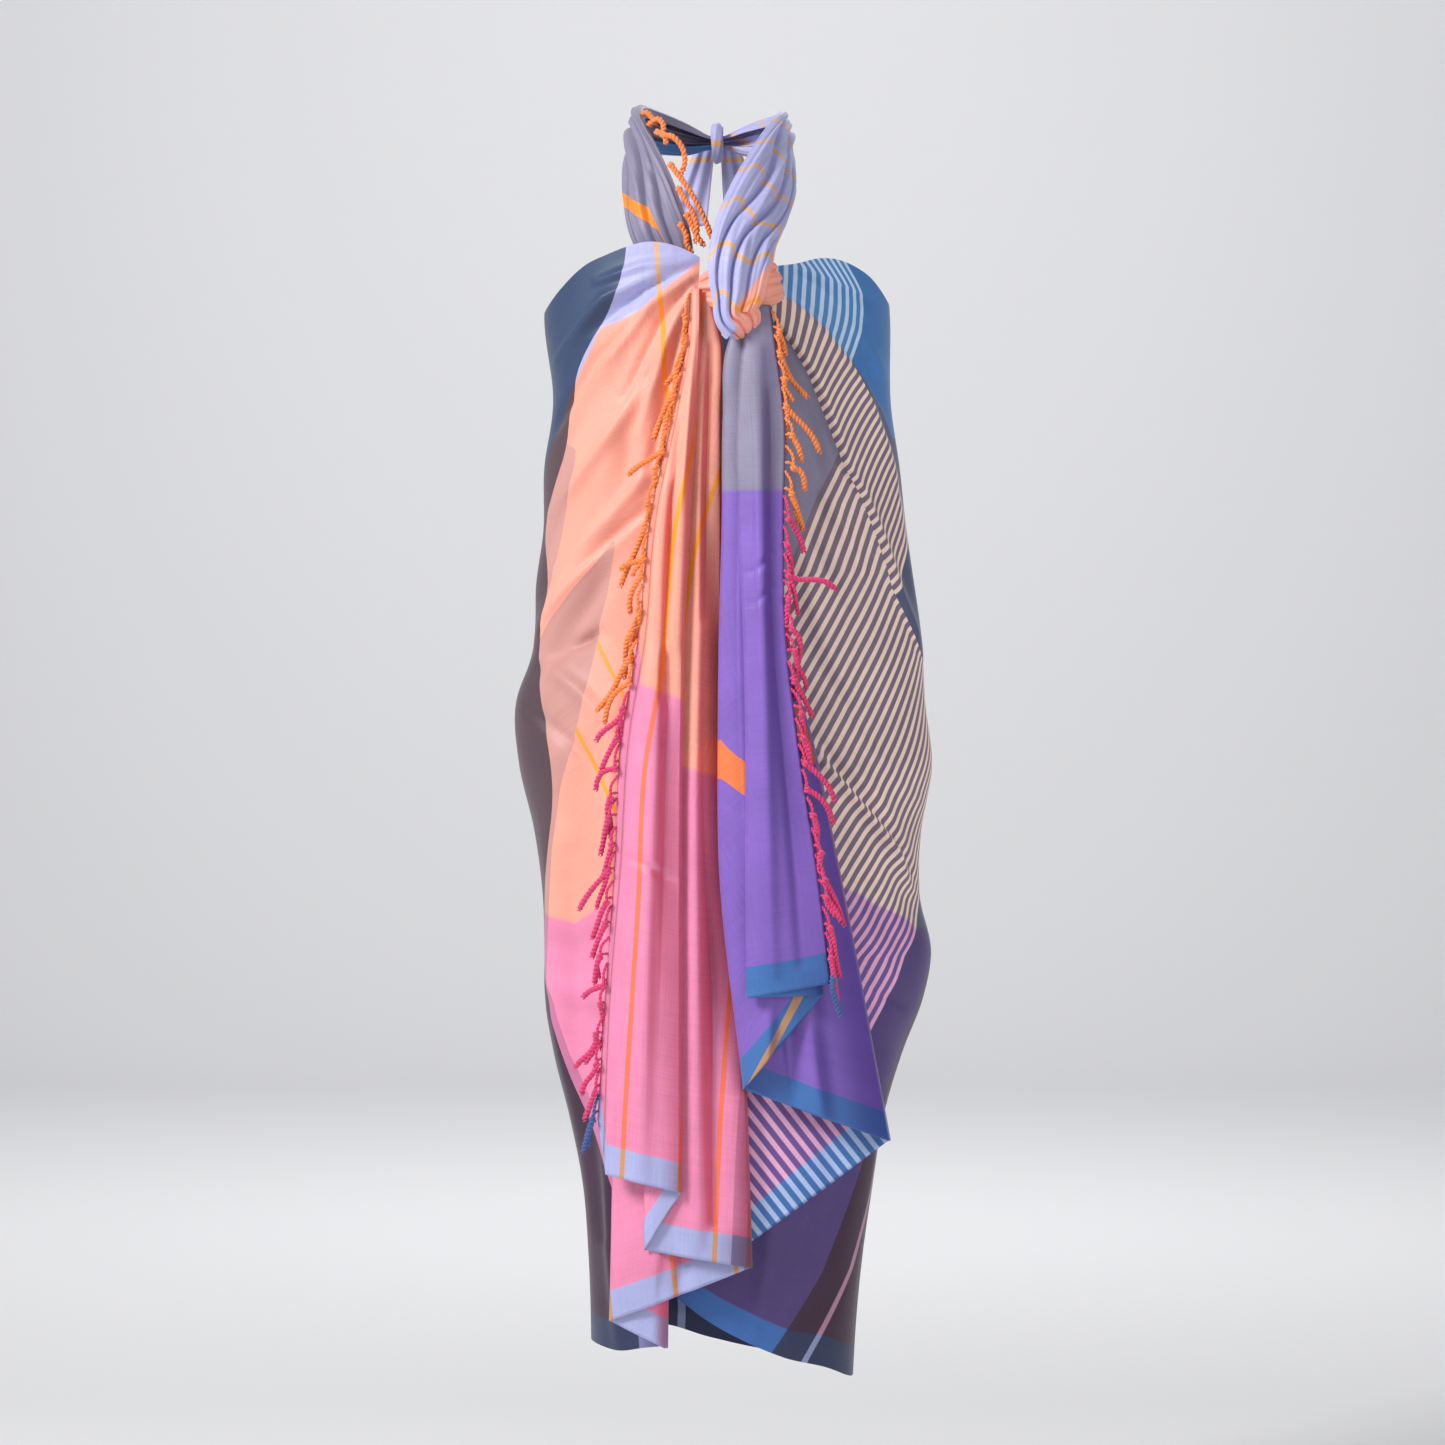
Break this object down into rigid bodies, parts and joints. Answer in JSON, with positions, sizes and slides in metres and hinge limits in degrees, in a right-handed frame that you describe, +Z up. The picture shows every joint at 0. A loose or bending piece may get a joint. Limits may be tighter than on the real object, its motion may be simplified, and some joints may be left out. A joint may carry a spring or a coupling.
{
  "type": "longyi sarong worn as a halter dress",
  "caption": "Fringed shot-silk sarong cloth wrapped round the body and tied behind the neck as a halter dress, its ends hanging in front as zigzag folds.",
  "frame": {"origin": "the inner side of the neck loop at the nape, where the wearer's neck holds the cloth up", "axes": "+Z up along the hanging cloth, the front of the garment faces -Y, and +X is to the right seen from the front"},
  "size_m": [0.4281, 0.3122, 1.2994],
  "materials": {
    "silk_plum": "shot silk and cotton, plum and slate blue",
    "silk_peach": "shot silk and cotton, peach over plum",
    "silk_stripe": "shot silk and cotton, pale stripes on grey and blue",
    "silk_pink": "shot silk and cotton, peach and pink with fine orange lines",
    "silk_purple": "shot silk and cotton, grey and violet",
    "silk_mauve": "shot silk and cotton, grey mauve with an orange band",
    "silk_lilac": "shot silk and cotton, lilac with fine orange lines",
    "fringe": "twisted yarn ends, orange, magenta and blue"
  },
  "bodies": {
    "root": {"wrap_back": "silk_plum", "front_left": "silk_peach", "front_right": "silk_stripe", "fall_left": "silk_pink", "fall_right": "silk_purple", "strap_left": "silk_mauve", "strap_right": "silk_lilac", "knot": "silk_peach", "nape_tie": "silk_lilac", "tie_tail_left": "silk_mauve", "tie_tail_right": "silk_lilac", "fringe_left": "fringe", "fringe_right": "fringe"}
  },
  "joints": []
}
